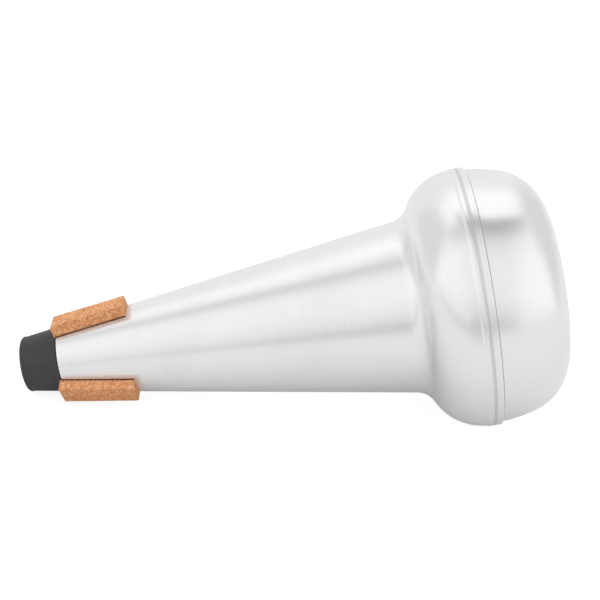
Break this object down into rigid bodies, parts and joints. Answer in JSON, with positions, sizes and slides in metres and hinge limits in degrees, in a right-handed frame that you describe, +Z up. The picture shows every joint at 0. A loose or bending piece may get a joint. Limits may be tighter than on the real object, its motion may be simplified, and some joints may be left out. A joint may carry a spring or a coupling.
{
  "type": "trombone practice mute",
  "caption": "Spun aluminium trombone practice mute: a long cone with a bulb head, cork strips on its narrow end and a rubber throat sleeve.",
  "frame": {"origin": "on the surface that the mute lies on, under the centre of its box", "axes": "+X from the narrow end towards the base, +Z up; the mute's own axis lies in the XZ plane and rises 12.75 degrees towards the base, and one cork strip is on top"},
  "size_m": [0.254, 0.1206, 0.1189],
  "materials": {
    "spun_aluminium": "satin, with fine rings from spinning",
    "black_rubber": "matt",
    "grey_felt": "fibrous, matt",
    "cork": "sanded agglomerated cork, matt"
  },
  "bodies": {
    "root": {"front_shell": "spun_aluminium", "rear_cap": "spun_aluminium", "throat_sleeve": "black_rubber", "damping_pad": "grey_felt", "cork_strip_top": "cork", "cork_strip_front": "cork", "cork_strip_back": "cork"}
  },
  "joints": []
}
